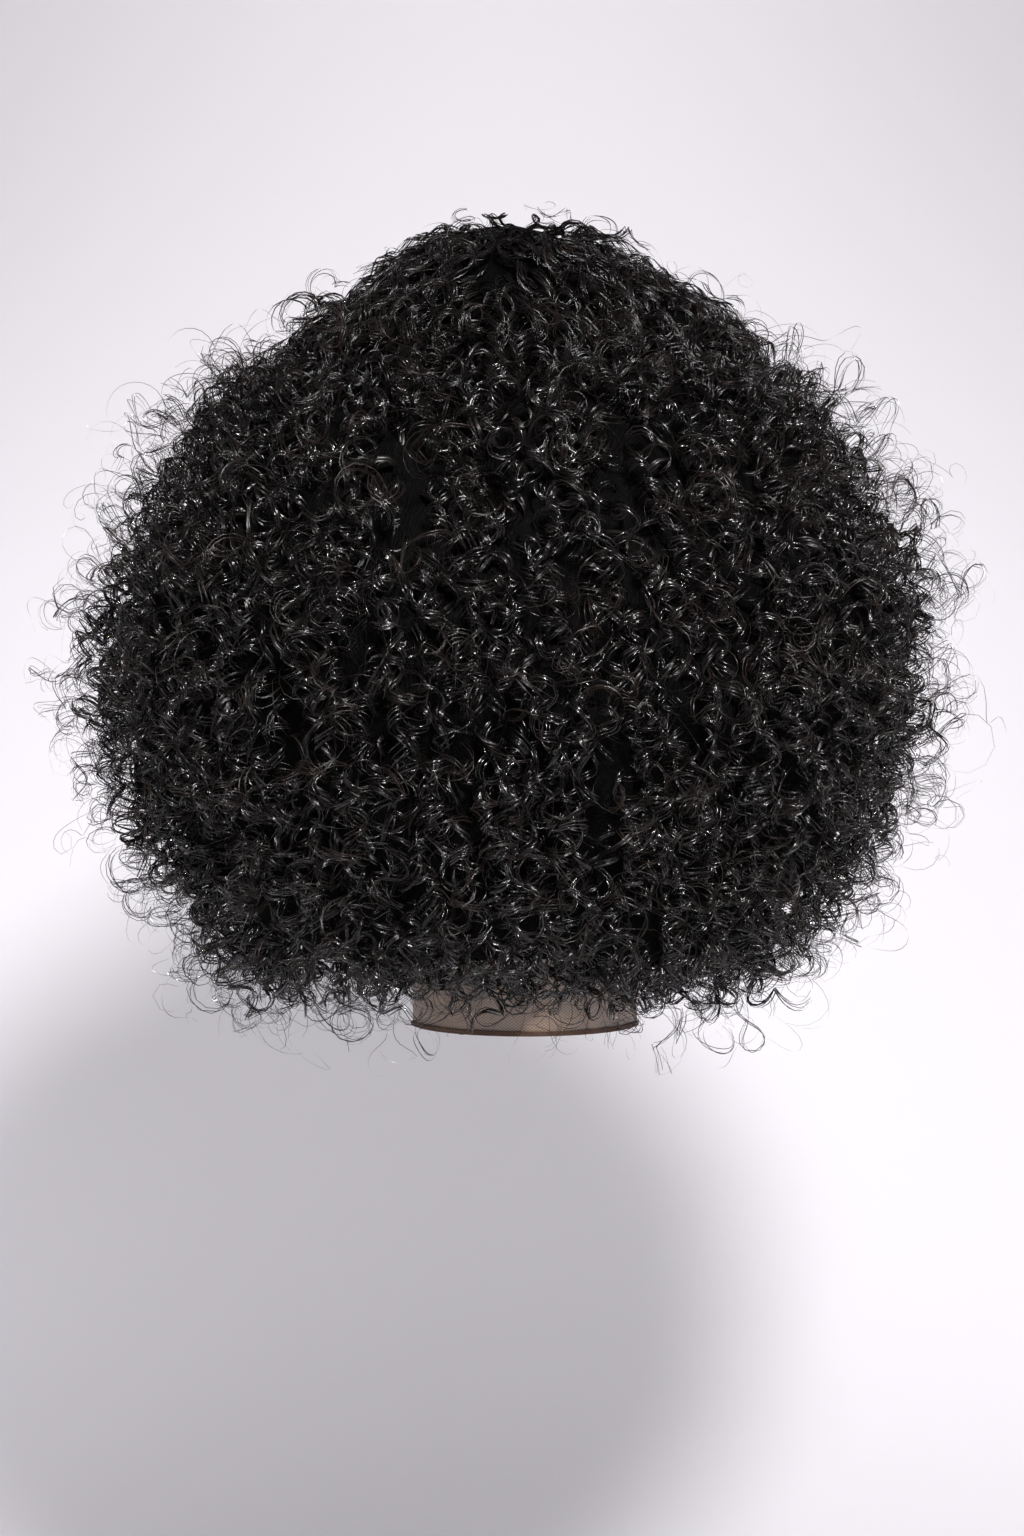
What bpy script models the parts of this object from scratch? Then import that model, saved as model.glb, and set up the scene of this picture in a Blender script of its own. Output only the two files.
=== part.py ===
"""Curly lace front wig in its worn form.

A round mass of curls, modelled as drooping locks fused to one backing, sits over a head-shaped cap.
A sheer lace panel runs along the front hairline from ear to ear, and a second one hangs down the
nape and ends in a narrow hem.

Metres, +Z up. The origin is where the crown of the head touches the inside of the cap. The back of
the wig faces -Y, its front hairline faces +Y, and angles run round the head from the back.
"""

import math
import random

import bmesh
import bpy
from mathutils import Vector

# Head form that the cap is cut for
HEAD_HALF_WIDTH = 0.077
HEAD_BACK_DEPTH = 0.098
HEAD_FRONT_DEPTH = 0.096
HEAD_WIDEST_DROP = 0.100
NECK_RADIUS = 0.0560
NECK_SET_BACK = 0.016
NECK_DROP = 0.205

# Cap and lace
CAP_WALL = 0.0012
LACE_WALL = 0.0010
HEM_WALL = 0.0016
HEM_HEIGHT = 0.0022
NAPE_DROP = 0.2420
HAIRLINE_DROP = 0.064
EDGE_GAP = 0.0004
HAIR_GAP = 0.0005
NAPE_LACE_HALF_ANGLE = math.radians(81)
LACE_FRONT_START_ANGLE = math.radians(99)

# Hair mass
HAIR_HALF_WIDTH = 0.210
HAIR_BACK_DEPTH = 0.203
HAIR_FRONT_DEPTH = 0.186
HAIR_TOP_RISE = 0.156
HAIR_BOTTOM_DROP = 0.221
HAIR_SIDE_SHIFT = -0.006
HAIR_ROOT_DROP = 0.212
FRINGE_DROP = 0.062
FRINGE_ROOT_DROP = 0.049
FACE_HALF_WIDTH = 0.070
FACE_ROOT_ANGLE = math.radians(135)

# Locks of the hair mass
LOCK_WIDTH = 0.050
LOCK_LENGTH = 0.050
LOCK_RELIEF = 0.0135
LOCK_SINK = 0.0055
LOCK_SWAY = 0.0050
LOCK_SLIP = 0.0060
LOCK_DRIFT = 0.013
RIM_BULGE = 0.012
LOCK_SEED = 11

# Facets
HEAD_COLUMNS = 40
HEAD_ROWS = 12
LACE_ROWS = 4
HOLLOW_ROWS = 6
SKIRT_ROWS = 10
PROFILE_STEPS = 240
SLOPE_STEP = 0.005
SAME_ANGLE = 1e-6

# Hair outline from the top down, as shares of the total height, the half width and the depth
HAIR_SECTIONS = (
    # height, width, depth
    (0.000, 0.000, 0.000),
    (0.008, 0.120, 0.125),
    (0.026, 0.225, 0.235),
    (0.060, 0.355, 0.370),
    (0.105, 0.480, 0.500),
    (0.165, 0.605, 0.625),
    (0.235, 0.730, 0.745),
    (0.320, 0.845, 0.855),
    (0.410, 0.935, 0.940),
    (0.510, 0.995, 0.990),
    (0.600, 1.000, 1.000),
    (0.700, 0.975, 0.975),
    (0.780, 0.915, 0.915),
    (0.860, 0.850, 0.845),
    (0.925, 0.790, 0.780),
    (0.972, 0.715, 0.700),
    (1.000, 0.600, 0.580),
)

# Edges of the cap and of the lace round one side of the head, as shares of the nape's drop
CAP_EDGES = (
    # angle from the back in degrees, cap edge, lace edge
    (0, 0.815, 1.000),
    (54, 0.810, 1.000),
    (72, 0.780, 1.000),
    (81, 0.730, 1.000),
    (90, 0.520, 0.560),
    (99, 0.430, 0.500),
    (108, 0.385, 0.585),
    (117, 0.320, 0.600),
    (126, 0.250, 0.500),
    (144, 0.160, 0.340),
    (162, 0.110, 0.275),
    (180, 0.095, 0.260),
)

# Relief down the length of a lock and across it
LOCK_RISE = (0.10, 0.66, 1.00, 0.88)
LOCK_ARCH = (0.00, 0.76, 1.00, 0.76)
LOCK_TURN = (0.00, 0.80, 0.20, -0.70)


def clear_scene():
    for item in list(bpy.data.objects):
        bpy.data.objects.remove(item)


def mix(first, second, share):
    return first + (second - first) * share


def ease(share):
    share = min(max(share, 0.0), 1.0)
    return share * share * (3 - 2 * share)


def table_value(table, key, column):
    """The smoothly eased value of a column of a table, whose first column is sorted."""
    for lower, upper in zip(table, table[1:]):
        if key <= upper[0]:
            return mix(lower[column], upper[column], ease((key - lower[0]) / (upper[0] - lower[0])))
    return table[-1][column]


def from_back(angle):
    """The unsigned angle from the back of the head, from 0 to pi."""
    return abs((angle + math.pi) % (2 * math.pi) - math.pi)


# Head form


def drop_of(turn):
    """How far below the crown a turn down the head lies. A quarter turn reaches the widest level."""
    if turn < math.pi / 2:
        return HEAD_WIDEST_DROP * (1 - math.cos(turn))
    return HEAD_WIDEST_DROP * (1 + turn - math.pi / 2)


def turn_of(drop):
    if drop < HEAD_WIDEST_DROP:
        return math.acos(1 - drop / HEAD_WIDEST_DROP)
    return math.pi / 2 + drop / HEAD_WIDEST_DROP - 1


def head_skin(angle, turn):
    """A point on the head form."""
    slim = ease((drop_of(turn) - HEAD_WIDEST_DROP) / (NECK_DROP - HEAD_WIDEST_DROP))
    swell = math.sin(min(turn, math.pi / 2)) ** 0.94
    half_width = mix(HEAD_HALF_WIDTH, NECK_RADIUS, slim) * swell
    half_depth = HEAD_BACK_DEPTH if math.cos(angle) > 0 else HEAD_FRONT_DEPTH
    depth = mix(half_depth, NECK_RADIUS, slim) * swell
    centre = -NECK_SET_BACK * slim
    return Vector((half_width * math.sin(angle), centre - depth * math.cos(angle), -drop_of(turn)))


def surface_normal(surface, angle, place):
    """Outward normal of a surface that is read by an angle and a place down its length."""
    round_it = surface(angle + SLOPE_STEP, place) - surface(angle - SLOPE_STEP, place)
    down_it = surface(angle, place + SLOPE_STEP) - surface(angle, max(place - SLOPE_STEP, 0.0))
    return down_it.cross(round_it).normalized()


def head_point(angle, turn, offset):
    """A point that stands off the head form by an offset."""
    if turn == 0:
        return Vector((0, 0, offset))
    return head_skin(angle, turn) + surface_normal(head_skin, angle, turn) * offset


def cap_edge(angle):
    return NAPE_DROP * table_value(CAP_EDGES, math.degrees(from_back(angle)), 1)


def lace_edge(angle):
    share = table_value(CAP_EDGES, math.degrees(from_back(angle)), 2)
    front_share = CAP_EDGES[-1][2]
    hairline_shift = HAIRLINE_DROP - NAPE_DROP * front_share
    front_ease = ease((from_back(angle) - LACE_FRONT_START_ANGLE) / (math.pi - LACE_FRONT_START_ANGLE))
    return NAPE_DROP * share + hairline_shift * front_ease


# Meshes


def add_object(name, bm, material):
    bmesh.ops.recalc_face_normals(bm, faces=bm.faces)
    mesh = bpy.data.meshes.new(name)
    bm.to_mesh(mesh)
    bm.free()
    mesh.materials.append(material)
    mesh.shade_smooth()
    mesh.set_sharp_from_angle(angle=math.radians(50))
    item = bpy.data.objects.new(name, mesh)
    bpy.context.collection.objects.link(item)
    return item


def make_material(name, color, roughness):
    material = bpy.data.materials.new(name)
    material.use_nodes = True
    shader = material.node_tree.nodes["Principled BSDF"]
    shader.inputs["Base Color"].default_value = (*color, 1)
    shader.inputs["Roughness"].default_value = roughness
    shader.inputs["Metallic"].default_value = 0
    return material


def closed(ring):
    """The ring of (angle, vertex) pairs with its first pair repeated at its end."""
    return ring + [(ring[0][0] + 2 * math.pi, ring[0][1])]


def bridge_rows(bm, upper, lower):
    """Joins two open rows of (angle, vertex) pairs, of any counts, column by column."""
    first, second = 0, 0
    while first < len(upper) - 1 or second < len(lower) - 1:
        here, there = upper[first][1], lower[second][1]
        at_upper_end = first == len(upper) - 1
        at_lower_end = second == len(lower) - 1
        if at_lower_end or (not at_upper_end and upper[first + 1][0] <= lower[second + 1][0] + SAME_ANGLE):
            first += 1
            bm.faces.new((here, there, upper[first][1]))
        else:
            second += 1
            bm.faces.new((here, there, lower[second][1]))


def bridge_down(bm, rings):
    for upper, lower in zip(rings, rings[1:]):
        bridge_rows(bm, closed(upper), closed(lower))


def close_pole(bm, ring, point):
    """Closes a ring with a fan of triangles round one point."""
    pole = bm.verts.new(point)
    for (_, here), (_, there) in zip(ring, ring[1:] + ring[:1]):
        bm.faces.new((here, there, pole))


def head_columns(first, last):
    """The angles of the head form's shared columns that lie between two angles, both included."""
    step = 2 * math.pi / HEAD_COLUMNS
    return [step * column for column in range(round(first / step), round(last / step) + 1)]


def head_row(bm, angles, turn_at, offset):
    """A row of (angle, vertex) pairs round the head, each at its own turn down from the crown."""
    return [(angle, bm.verts.new(head_point(angle, turn_at(angle), offset))) for angle in angles]


def dome_rings(bm, offset):
    """The rings from just below the crown down to the cap's edge, at one offset from the head."""
    angles = head_columns(-math.pi, math.pi)[:-1]
    shares = [(row + 1) / HEAD_ROWS for row in range(HEAD_ROWS)]
    return [head_row(bm, angles, lambda angle: turn_of(cap_edge(angle)) * share, offset) for share in shares]


def make_cap(material):
    """The cap: one open dome of even wall, cut out over the ears."""
    bm = bmesh.new()
    outer = dome_rings(bm, CAP_WALL)
    inner = dome_rings(bm, 0.0)
    close_pole(bm, outer[0], head_point(0, 0, CAP_WALL))
    close_pole(bm, inner[0], head_point(0, 0, 0.0))
    bridge_down(bm, outer)
    bridge_down(bm, inner)
    bridge_rows(bm, closed(outer[-1]), closed(inner[-1]))
    return add_object("cap", bm, material)


def make_panel(name, angles, upper_drop, lower_drop, rows, wall, material):
    """A strip of the head form between two edges, with a wall that stands outward."""
    bm = bmesh.new()
    layers = []
    for offset in (0.0, wall):
        grid = []
        for angle in angles:
            upper, lower = turn_of(upper_drop(angle)), turn_of(lower_drop(angle))
            turns = [mix(upper, lower, row / rows) for row in range(rows + 1)]
            grid.append([bm.verts.new(head_point(angle, turn, offset)) for turn in turns])
        layers.append(grid)
    for grid in layers:
        for here, there in zip(grid, grid[1:]):
            for row in range(rows):
                bm.faces.new((here[row], here[row + 1], there[row]))
                bm.faces.new((here[row + 1], there[row + 1], there[row]))
    inner, outer = layers
    for column in range(len(angles) - 1):
        for row in (0, rows):
            bm.faces.new((inner[column][row], inner[column + 1][row], outer[column + 1][row], outer[column][row]))
    for column in (0, len(angles) - 1):
        for row in range(rows):
            bm.faces.new((inner[column][row], inner[column][row + 1], outer[column][row + 1], outer[column][row]))
    return add_object(name, bm, material)


def make_lace(front_material, nape_material, hem_material):
    front = head_columns(LACE_FRONT_START_ANGLE, 2 * math.pi - LACE_FRONT_START_ANGLE)
    nape = head_columns(-NAPE_LACE_HALF_ANGLE, NAPE_LACE_HALF_ANGLE)

    def under_cap(angle):
        return cap_edge(angle) + EDGE_GAP

    def nape_end(angle):
        return NAPE_DROP - HEM_HEIGHT - EDGE_GAP

    def hem_start(angle):
        return NAPE_DROP - HEM_HEIGHT

    def hem_end(angle):
        return NAPE_DROP

    make_panel("lace_front", front, under_cap, lace_edge, LACE_ROWS, LACE_WALL, front_material)
    make_panel("nape_lace", nape, under_cap, nape_end, LACE_ROWS, LACE_WALL, nape_material)
    make_panel("nape_hem", nape, hem_start, hem_end, 1, HEM_WALL, hem_material)


# Hair mass


def curve_through(rows, index, share):
    """A point of the smooth curve through a list of points, between one point and the next."""
    before, start = rows[max(index - 1, 0)], rows[index]
    end, after = rows[index + 1], rows[min(index + 2, len(rows) - 1)]
    slope_in, slope_out = (end - before) / 2, (after - start) / 2
    square, cube = share ** 2, share ** 3
    ends = start * (2 * cube - 3 * square + 1) + end * (3 * square - 2 * cube)
    return ends + slope_in * (cube - 2 * square + share) + slope_out * (cube - square)


def smooth_profile():
    """Points down the hair's outline, evenly spaced, as (height, width, depth) shares."""
    rows = [Vector(row) for row in HAIR_SECTIONS]
    steps = PROFILE_STEPS // len(rows)
    fine = [curve_through(rows, index, step / steps) for index in range(len(rows) - 1) for step in range(steps)]
    fine.append(rows[-1])
    height = HAIR_TOP_RISE + HAIR_BOTTOM_DROP
    travelled = [0.0]
    for here, there in zip(fine, fine[1:]):
        step = math.hypot((there.x - here.x) * height, (there.y - here.y) * HAIR_HALF_WIDTH)
        travelled.append(travelled[-1] + step)
    even, cursor = [], 0
    for step in range(PROFILE_STEPS + 1):
        goal = travelled[-1] * step / PROFILE_STEPS
        while cursor < len(fine) - 2 and travelled[cursor + 1] < goal:
            cursor += 1
        span = travelled[cursor + 1] - travelled[cursor]
        even.append(fine[cursor].lerp(fine[cursor + 1], (goal - travelled[cursor]) / span))
    return even, travelled[-1]


PROFILE, PROFILE_LENGTH = smooth_profile()


def profile_at(place):
    position = min(max(place, 0.0), 1.0) * PROFILE_STEPS
    index = min(int(position), PROFILE_STEPS - 1)
    return PROFILE[index].lerp(PROFILE[index + 1], position - index)


def hair_point(angle, place):
    """A point on the hair's smooth outline, at a place from the top (0) to the lower rim (1)."""
    row = profile_at(place)
    half_depth = HAIR_BACK_DEPTH if math.cos(angle) > 0 else HAIR_FRONT_DEPTH
    x = HAIR_SIDE_SHIFT + HAIR_HALF_WIDTH * row.y * math.sin(angle)
    y = -half_depth * row.z * math.cos(angle)
    return Vector((x, y, HAIR_TOP_RISE - row.x * (HAIR_TOP_RISE + HAIR_BOTTOM_DROP)))


def place_of_drop(drop):
    goal = (HAIR_TOP_RISE + drop) / (HAIR_TOP_RISE + HAIR_BOTTOM_DROP)
    return next(step for step, row in enumerate(PROFILE) if row.x >= goal) / PROFILE_STEPS


def lock_bands():
    """(first place, last place, half angle, number of locks) of each band of locks down the hair.

    A band above the fringe goes right round. One below it stops at the face opening.
    """
    fringe = place_of_drop(FRINGE_DROP)
    closed_count = round(PROFILE_LENGTH * fringe / LOCK_LENGTH)
    open_count = round(PROFILE_LENGTH * (1 - fringe) / LOCK_LENGTH)
    starts = [fringe * band / closed_count for band in range(closed_count)]
    starts += [mix(fringe, 1.0, band / open_count) for band in range(open_count + 1)]
    bands = []
    for index, (start, end) in enumerate(zip(starts, starts[1:])):
        middle = profile_at((start + end) / 2)
        half_angle = math.pi
        if index >= closed_count:
            half_angle -= math.atan2(FACE_HALF_WIDTH, HAIR_FRONT_DEPTH * middle.z)
        radius = middle.y * (2 * HAIR_HALF_WIDTH + HAIR_BACK_DEPTH + HAIR_FRONT_DEPTH) / 4
        bands.append((start, end, half_angle, max(3, round(2 * half_angle * radius / LOCK_WIDTH))))
    return bands


def drift(angle, place):
    """How far the bands of locks wander up or down the profile round the head."""
    wander = 0.6 * math.sin(3 * angle + 1.1) + 0.4 * math.sin(5 * angle + 2.3)
    return LOCK_DRIFT / PROFILE_LENGTH * wander * math.sin(math.pi * place)


def lock_rings(bm, band, stagger, chance):
    """The rows of one band: each lock rises from its root, arches across and tucks in at its tip."""
    start, end, half_angle, locks = band
    traits = [(chance.uniform(0.75, 1.15), chance.choice((-1, 1)), chance.uniform(-1, 1)) for _ in range(locks + 1)]
    across, along = len(LOCK_ARCH), len(LOCK_RISE)
    is_open = half_angle < math.pi
    step = 2 * half_angle / (locks * across)
    rings = []
    for row, rise in enumerate(LOCK_RISE):
        ring = []
        for column in range(locks * across + is_open):
            lock, part = divmod(column + stagger, across)
            lift, side, slip = traits[lock if is_open else lock % locks]
            arch = LOCK_ARCH[part]
            angle = step * column - half_angle
            place = mix(start, end, (row + 0.5) / along) + LOCK_SLIP / PROFILE_LENGTH * slip * arch
            place += drift(angle, place)
            radius = HAIR_HALF_WIDTH * profile_at(place).y + LOCK_WIDTH / 2
            swayed = angle + side * LOCK_SWAY * LOCK_TURN[row] * arch / radius
            relief = LOCK_RELIEF * rise * arch * lift - LOCK_SINK
            point = hair_point(swayed, place) + surface_normal(hair_point, swayed, place) * relief
            ring.append((angle, bm.verts.new(point)))
        rings.append(ring)
    return rings


def make_locks(bm):
    """The outer surface of the hair, open at the lower rim and over the face."""
    chance = random.Random(LOCK_SEED)
    bands = lock_bands()
    rows = []
    for index, band in enumerate(bands):
        stagger = (index % 2) * len(LOCK_ARCH) // 2
        rows += [(band[2], ring) for ring in lock_rings(bm, band, stagger, chance)]
    close_pole(bm, rows[0][1], hair_point(0, 0))
    join_rows(bm, rows)


def make_hollow(bm):
    """The inner surface of the hair: it clears the cap and the lace, and is open over the face."""
    offset = CAP_WALL + HAIR_GAP
    fringe_turn, root_turn = turn_of(FRINGE_ROOT_DROP), turn_of(HAIR_ROOT_DROP)
    all_round = head_columns(-math.pi, math.pi)[:-1]
    round_back = head_columns(-FACE_ROOT_ANGLE, FACE_ROOT_ANGLE)
    rows = []
    for row in range(HOLLOW_ROWS):
        turn = fringe_turn * (row + 1) / HOLLOW_ROWS
        rows.append((math.pi, head_row(bm, all_round, lambda angle: turn, offset)))
    for row in range(SKIRT_ROWS):
        turn = mix(fringe_turn, root_turn, (row + 1) / SKIRT_ROWS)
        rows.append((round_back[-1], head_row(bm, round_back, lambda angle: turn, offset)))
    close_pole(bm, rows[0][1], head_point(0, 0, offset))
    join_rows(bm, rows)


def join_rows(bm, rows):
    """Joins each row to the next. A closed row above an open one keeps a free stretch over the face."""
    for (upper_half, upper), (lower_half, lower) in zip(rows, rows[1:]):
        if lower_half < math.pi <= upper_half:
            slack = math.pi / len(upper)
            upper = [pair for pair in upper if abs(pair[0]) <= lower_half + slack]
        elif lower_half == math.pi:
            upper, lower = closed(upper), closed(lower)
        bridge_rows(bm, upper, lower)


def free_loop(start):
    """The loop of free edges from a vertex, walked towards +X first."""
    loop = [start]
    ends = [edge.other_vert(start) for edge in start.link_edges if edge.is_boundary]
    here = max(ends, key=lambda vert: vert.co.x)
    while here is not start:
        loop.append(here)
        ways = [edge.other_vert(here) for edge in here.link_edges if edge.is_boundary]
        here = ways[0] if ways[1] is loop[-2] else ways[1]
    return loop


def lowest_at_back(verts):
    """The free vertex nearest the middle of the nape."""
    free = [vert for vert in verts if vert.is_boundary and vert.co.y < 0]
    floor = min(vert.co.z for vert in free)
    return min((vert for vert in free if vert.co.z < floor + LOCK_LENGTH / 4), key=lambda vert: abs(vert.co.x))


def zip_loops(bm, first, second):
    """Joins two closed loops, always across the shorter diagonal."""
    first, second = first + first[:1], second + second[:1]
    i, j = 0, 0
    while i < len(first) - 1 or j < len(second) - 1:
        ahead_first = (first[i + 1].co - second[j].co).length if i < len(first) - 1 else math.inf
        ahead_second = (second[j + 1].co - first[i].co).length if j < len(second) - 1 else math.inf
        if ahead_first <= ahead_second:
            bm.faces.new((first[i], second[j], first[i + 1]))
            i += 1
        else:
            bm.faces.new((first[i], second[j], second[j + 1]))
            j += 1


def rim_loop(bm, outer, inner):
    """A loop half-way between the rims of the locks and of the hollow, with a bulge for each lock."""
    points = []
    for index, vert in enumerate(outer):
        root = min(inner, key=lambda other: (other.co - vert.co).length).co
        along = outer[(index + 1) % len(outer)].co - outer[index - 1].co
        bulge = along.cross(root - vert.co).normalized() * RIM_BULGE
        points.append(vert.co.lerp(root, 0.45) + bulge * LOCK_ARCH[index % len(LOCK_ARCH)])
    return [bm.verts.new(point) for point in points]


def make_hair(material):
    """The hair: locks fused to one thick backing, hollow where the cap and the head go in."""
    bm = bmesh.new()
    make_locks(bm)
    locks = list(bm.verts)
    make_hollow(bm)
    hollow = [vert for vert in bm.verts if vert not in set(locks)]
    outer = free_loop(lowest_at_back(locks))
    inner = free_loop(lowest_at_back(hollow))
    middle = rim_loop(bm, outer, inner)
    zip_loops(bm, outer, middle)
    zip_loops(bm, middle, inner)
    return add_object("hair", bm, material)


def main():
    clear_scene()
    make_hair(make_material("black_hair", (0.012, 0.010, 0.010), 0.45))
    make_cap(make_material("cap_net", (0.030, 0.022, 0.018), 0.80))
    make_lace(
        make_material("front_lace", (0.420, 0.300, 0.210), 0.75),
        make_material("nape_net", (0.360, 0.270, 0.200), 0.75),
        make_material("hem_tape", (0.300, 0.190, 0.130), 0.70),
    )


main()
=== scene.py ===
"""Finishes the curly lace front wig: its curls, its nets, its hem and the studio it is shown in.

The hair grows as ribbons from a dark core inside the solid of hair. Curls hang in clumps, waves lie
over the crown, thin loops make the see-through edge, and single hairs fly off it.
"""

import math

import bmesh
import bpy
import numpy as np
from bpy.props import FloatProperty, FloatVectorProperty, IntProperty, PointerProperty
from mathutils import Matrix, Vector
from mathutils.bvhtree import BVHTree


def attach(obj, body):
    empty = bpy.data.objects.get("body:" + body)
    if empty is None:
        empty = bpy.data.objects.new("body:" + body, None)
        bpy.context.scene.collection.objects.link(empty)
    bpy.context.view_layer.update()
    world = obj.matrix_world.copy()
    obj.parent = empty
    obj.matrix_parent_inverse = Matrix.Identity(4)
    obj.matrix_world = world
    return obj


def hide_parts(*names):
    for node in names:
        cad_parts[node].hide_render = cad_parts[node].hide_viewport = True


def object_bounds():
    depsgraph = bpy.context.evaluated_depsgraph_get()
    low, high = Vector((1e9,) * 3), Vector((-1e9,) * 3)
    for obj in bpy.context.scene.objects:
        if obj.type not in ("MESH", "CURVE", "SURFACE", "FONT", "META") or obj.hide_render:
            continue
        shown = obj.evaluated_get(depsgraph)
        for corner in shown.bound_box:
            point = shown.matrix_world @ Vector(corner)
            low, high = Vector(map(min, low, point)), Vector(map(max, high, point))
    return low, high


bl_info = {
    "name": "Curly Wig Finisher",
    "version": (1, 0, 0),
    "blender": (4, 5, 0),
    "location": "View3D > Sidebar > Wig",
    "description": "Grows the curls of a curly wig and finishes its nets, cap and hem",
    "category": "Object",
}

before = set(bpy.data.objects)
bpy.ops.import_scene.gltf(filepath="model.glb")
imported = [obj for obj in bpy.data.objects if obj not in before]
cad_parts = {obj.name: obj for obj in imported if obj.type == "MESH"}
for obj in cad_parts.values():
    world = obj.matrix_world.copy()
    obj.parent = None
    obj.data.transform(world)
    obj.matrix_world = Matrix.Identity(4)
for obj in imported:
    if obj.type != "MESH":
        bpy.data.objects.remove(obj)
cad_low, cad_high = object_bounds()

# The map of each ribbon is one of these strips side by side, so the strips share one picture
STRIPS = 16
BAKE_MAP = "OFBake"

# The radius of the wig's surface, which the tips of the curls follow down
ROUNDNESS = 0.15

# How far loops reach past the solids freely, and how much further the longest ones are let
FREE_REACH = 0.009
LAST_REACH = 0.012

# Height above which hair lies in waves, and how far the two halves of the back grow over their seam
CROWN_START = 0.060
SEAM_OVERLAP = 0.008

# Head form that the cap is cut for
HEAD_HALF_WIDTH = 0.077
HEAD_BACK_DEPTH = 0.098
HEAD_FRONT_DEPTH = 0.096
HEAD_WIDEST_DROP = 0.100
HEAD_SWELL = 0.94
NECK_RADIUS = 0.056
NECK_SET_BACK = 0.016
NECK_SLIMMING = 0.105

NAPE_HALF_ANGLE = math.radians(81)
LACE_START = math.radians(99)

# Edges of the cap and of the lace, as (degrees from the back of the head, drop below the crown)
CAP_EDGE = (
    (0, 0.1976), (54, 0.1964), (72, 0.1892), (81, 0.1771), (90, 0.1262), (99, 0.1045),
    (108, 0.0936), (117, 0.0778), (126, 0.0609), (144, 0.0391), (162, 0.0270), (180, 0.0234),
)
NAPE_END = ((0, 0.2403), (180, 0.2403))
LACE_END = (
    (90, 0.1355), (99, 0.1210), (108, 0.1415), (117, 0.1453),
    (126, 0.1213), (144, 0.0830), (162, 0.0672), (180, 0.0640),
)

# How much further out the hair stands than its even layer, as (degrees clockwise from the top, metres)
OUTLINE_TRIM = (
    (-180, 0.000), (-165, 0.004), (-150, 0.008), (-135, 0.003), (-110, 0.008), (-85, 0.004), (-55, 0.009),
    (-40, 0.006), (-28, -0.001), (-18, 0.002), (-8, 0.014), (5, 0.012), (14, 0.004), (22, 0.004), (32, 0.011),
    (50, 0.012), (70, 0.005), (85, 0.009), (100, 0.001), (125, 0.006), (140, -0.004), (152, 0.006),
    (162, 0.011), (180, 0.000),
)


# Sizes and colours


def length_size(label, meaning, default):
    return FloatProperty(
        name=label, description=meaning, default=default, min=0.0, subtype="DISTANCE", unit="LENGTH"
    )


def count_size(label, meaning, default):
    return IntProperty(name=label, description=meaning, default=default, min=1)


def finish_color(label, meaning, default):
    return FloatVectorProperty(
        name=label, description=meaning, default=default, size=3, min=0.0, max=1.0, subtype="COLOR"
    )


class HairSizes(bpy.types.PropertyGroup):
    core_depth: length_size("Core depth", "How far the dark core lies under the outline", 0.026)
    curl_radius: length_size("Curl radius", "Radius of a curl at the middle of the wig", 0.0043)
    loop_radius: length_size("Loop radius", "Radius of the loose loops at the edge", 0.0064)
    strand_width: length_size("Strand width", "Width of one strand in a curl", 0.00065)
    fringe_width: length_size("Fringe width", "Width of one hair in the loops at the edge", 0.00036)
    stray_width: length_size("Stray width", "Width of a single stray hair", 0.00022)
    seed: count_size("Seed", "Changes how the curls are scattered", 7)


class WigColors(bpy.types.PropertyGroup):
    hair: finish_color("Hair", "The darkest colour of the fibre", (0.0022, 0.0020, 0.0022))
    hair_light: finish_color("Hair, light", "The colour of the lightest fibres", (0.0112, 0.0076, 0.0066))
    # Hair, edge: a brown that is partly the hair's own tone and partly painted light shining through the thin
    # edge hairs
    hair_edge_tint_and_backlight: finish_color("Hair, edge", "The browner colour of hairs at the edge", (0.024, 0.0155, 0.012))
    lace: finish_color("Lace", "Ground of the sheer lace", (0.86, 0.63, 0.46))
    lace_shade: finish_color("Lace, shade", "Crossed threads of the sheer lace", (0.32, 0.20, 0.13))
    hem: finish_color("Hem", "Tape along the nape", (0.24, 0.145, 0.105))
    cap: finish_color("Cap", "Stretch net of the cap", (0.030, 0.022, 0.018))
    floor: finish_color("Floor", "Studio floor and backdrop", (0.86, 0.84, 0.88))


# Shader maths


class Wire:
    """A value socket of a shader, so that maths on it reads as plain Python."""

    def __init__(self, recipe, socket):
        self.recipe = recipe
        self.socket = socket

    def maths(self, operation, *values):
        return self.recipe.node("ShaderNodeMath", {"operation": operation}, *values)

    def __add__(self, other):
        return self.maths("ADD", self, other)

    def __sub__(self, other):
        return self.maths("SUBTRACT", self, other)

    def __mul__(self, other):
        return self.maths("MULTIPLY", self, other)

    def __pow__(self, other):
        return self.maths("POWER", self, other)

    def __rsub__(self, other):
        return self.maths("SUBTRACT", other, self)

    __radd__ = __add__
    __rmul__ = __mul__

    def whole(self):
        return self.maths("FLOOR", self)

    def part(self):
        return self.maths("FRACT", self)

    def sine(self):
        return self.maths("SINE", self)

    def size(self):
        return self.maths("ABSOLUTE", self)

    def least(self, other):
        return self.maths("MINIMUM", self, other)

    def most(self, other):
        return self.maths("MAXIMUM", self, other)

    def ramp(self, low, high):
        """0 below low, 1 above high, smooth between."""
        settings = {"interpolation_type": "SMOOTHSTEP"}
        return self.recipe.node("ShaderNodeMapRange", settings, self, low, high, 0.0, 1.0)


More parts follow.
